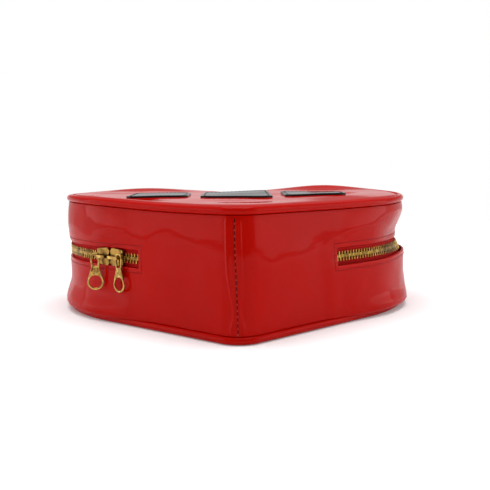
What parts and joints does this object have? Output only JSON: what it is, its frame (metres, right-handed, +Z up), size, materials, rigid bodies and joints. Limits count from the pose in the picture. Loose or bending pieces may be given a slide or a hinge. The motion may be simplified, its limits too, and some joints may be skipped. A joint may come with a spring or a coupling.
{
  "type": "heart-shaped zipped purse",
  "caption": "Heart-shaped hard-sided purse with piped edges, lying flat; a zip round the side wall, with two ring-pull sliders, lets the front panel bend open.",
  "frame": {"origin": "on the floor under the middle of the purse, which lies on its back panel", "axes": "+Z up through the front panel, -Y towards the heart's tip, X across its two lobes"},
  "size_m": [0.2264, 0.2056, 0.0732],
  "materials": {
    "red_patent": "high gloss patent",
    "red_piping": "high gloss patent",
    "black_patent": "high gloss patent",
    "board": "pressed fibre board",
    "lining": "plain woven lining",
    "piping_cord": "twisted cotton cord",
    "zip_tape": "woven zip tape",
    "brass": "antique brass"
  },
  "bodies": {
    "bag": {"back_panel": "red_patent", "back_board": "board", "back_lining": "lining", "back_piping": "red_piping", "back_piping_cord": "piping_cord", "front_panel_tip": "red_patent", "front_board_tip": "board", "front_lining_tip": "lining", "front_piping_tip": "red_piping", "front_piping_cord_tip": "piping_cord", "gusset_left": "red_patent", "gusset_right": "red_patent", "gusset_lining_left": "lining", "gusset_lining_right": "lining", "zip_tape_lower": "zip_tape", "zip_teeth_lower": "brass"},
    "lid": {"front_panel": "red_patent", "front_board": "board", "front_lining": "lining", "front_piping": "red_piping", "front_piping_cord": "piping_cord", "upper_gusset_left": "red_patent", "upper_gusset_right": "red_patent", "upper_gusset_lining_left": "lining", "upper_gusset_lining_right": "lining", "zip_tape_upper": "zip_tape", "zip_teeth_upper": "brass", "patch_left": "black_patent", "patch_middle": "black_patent", "patch_right": "black_patent"},
    "slider_front": {"slider_front_body": "brass", "slider_front_crown": "brass"},
    "slider_rear": {"slider_rear_body": "brass", "slider_rear_crown": "brass"},
    "pull_front": {"pull_front": "brass"},
    "pull_rear": {"pull_rear": "brass"}
  },
  "joints": [
    {"name": "lid_open", "type": "hinge", "parent": "bag", "child": "lid", "pos_m": [0, -0.05235, 0.069], "axis": [1, 0, 0], "range_deg": [0, 35], "deforming": ["zip_tape_upper", "zip_teeth_upper"]},
    {"name": "slider_front_travel", "type": "slide", "parent": "bag", "child": "slider_front", "axis": [0.7314, -0.682, 0], "range_m": [0, 0.01]},
    {"name": "slider_rear_travel", "type": "hinge", "parent": "bag", "child": "slider_rear", "pos_m": [-0.002, 0.04556, 0.0385], "axis": [0, 0, -1], "range_deg": [0, 43], "deforming": ["zip_teeth_lower"]},
    {"name": "pull_front_swing", "type": "hinge", "parent": "slider_front", "child": "pull_front", "pos_m": [-0.06738, -0.0475, 0.0385], "axis": [-0.682, -0.7314, 0], "range_deg": [-10, 80]},
    {"name": "pull_rear_swing", "type": "hinge", "parent": "slider_rear", "child": "pull_rear", "pos_m": [-0.08283, -0.03548, 0.0385], "axis": [-0.0349, 0.9994, 0], "range_deg": [0, 80]}
  ]
}
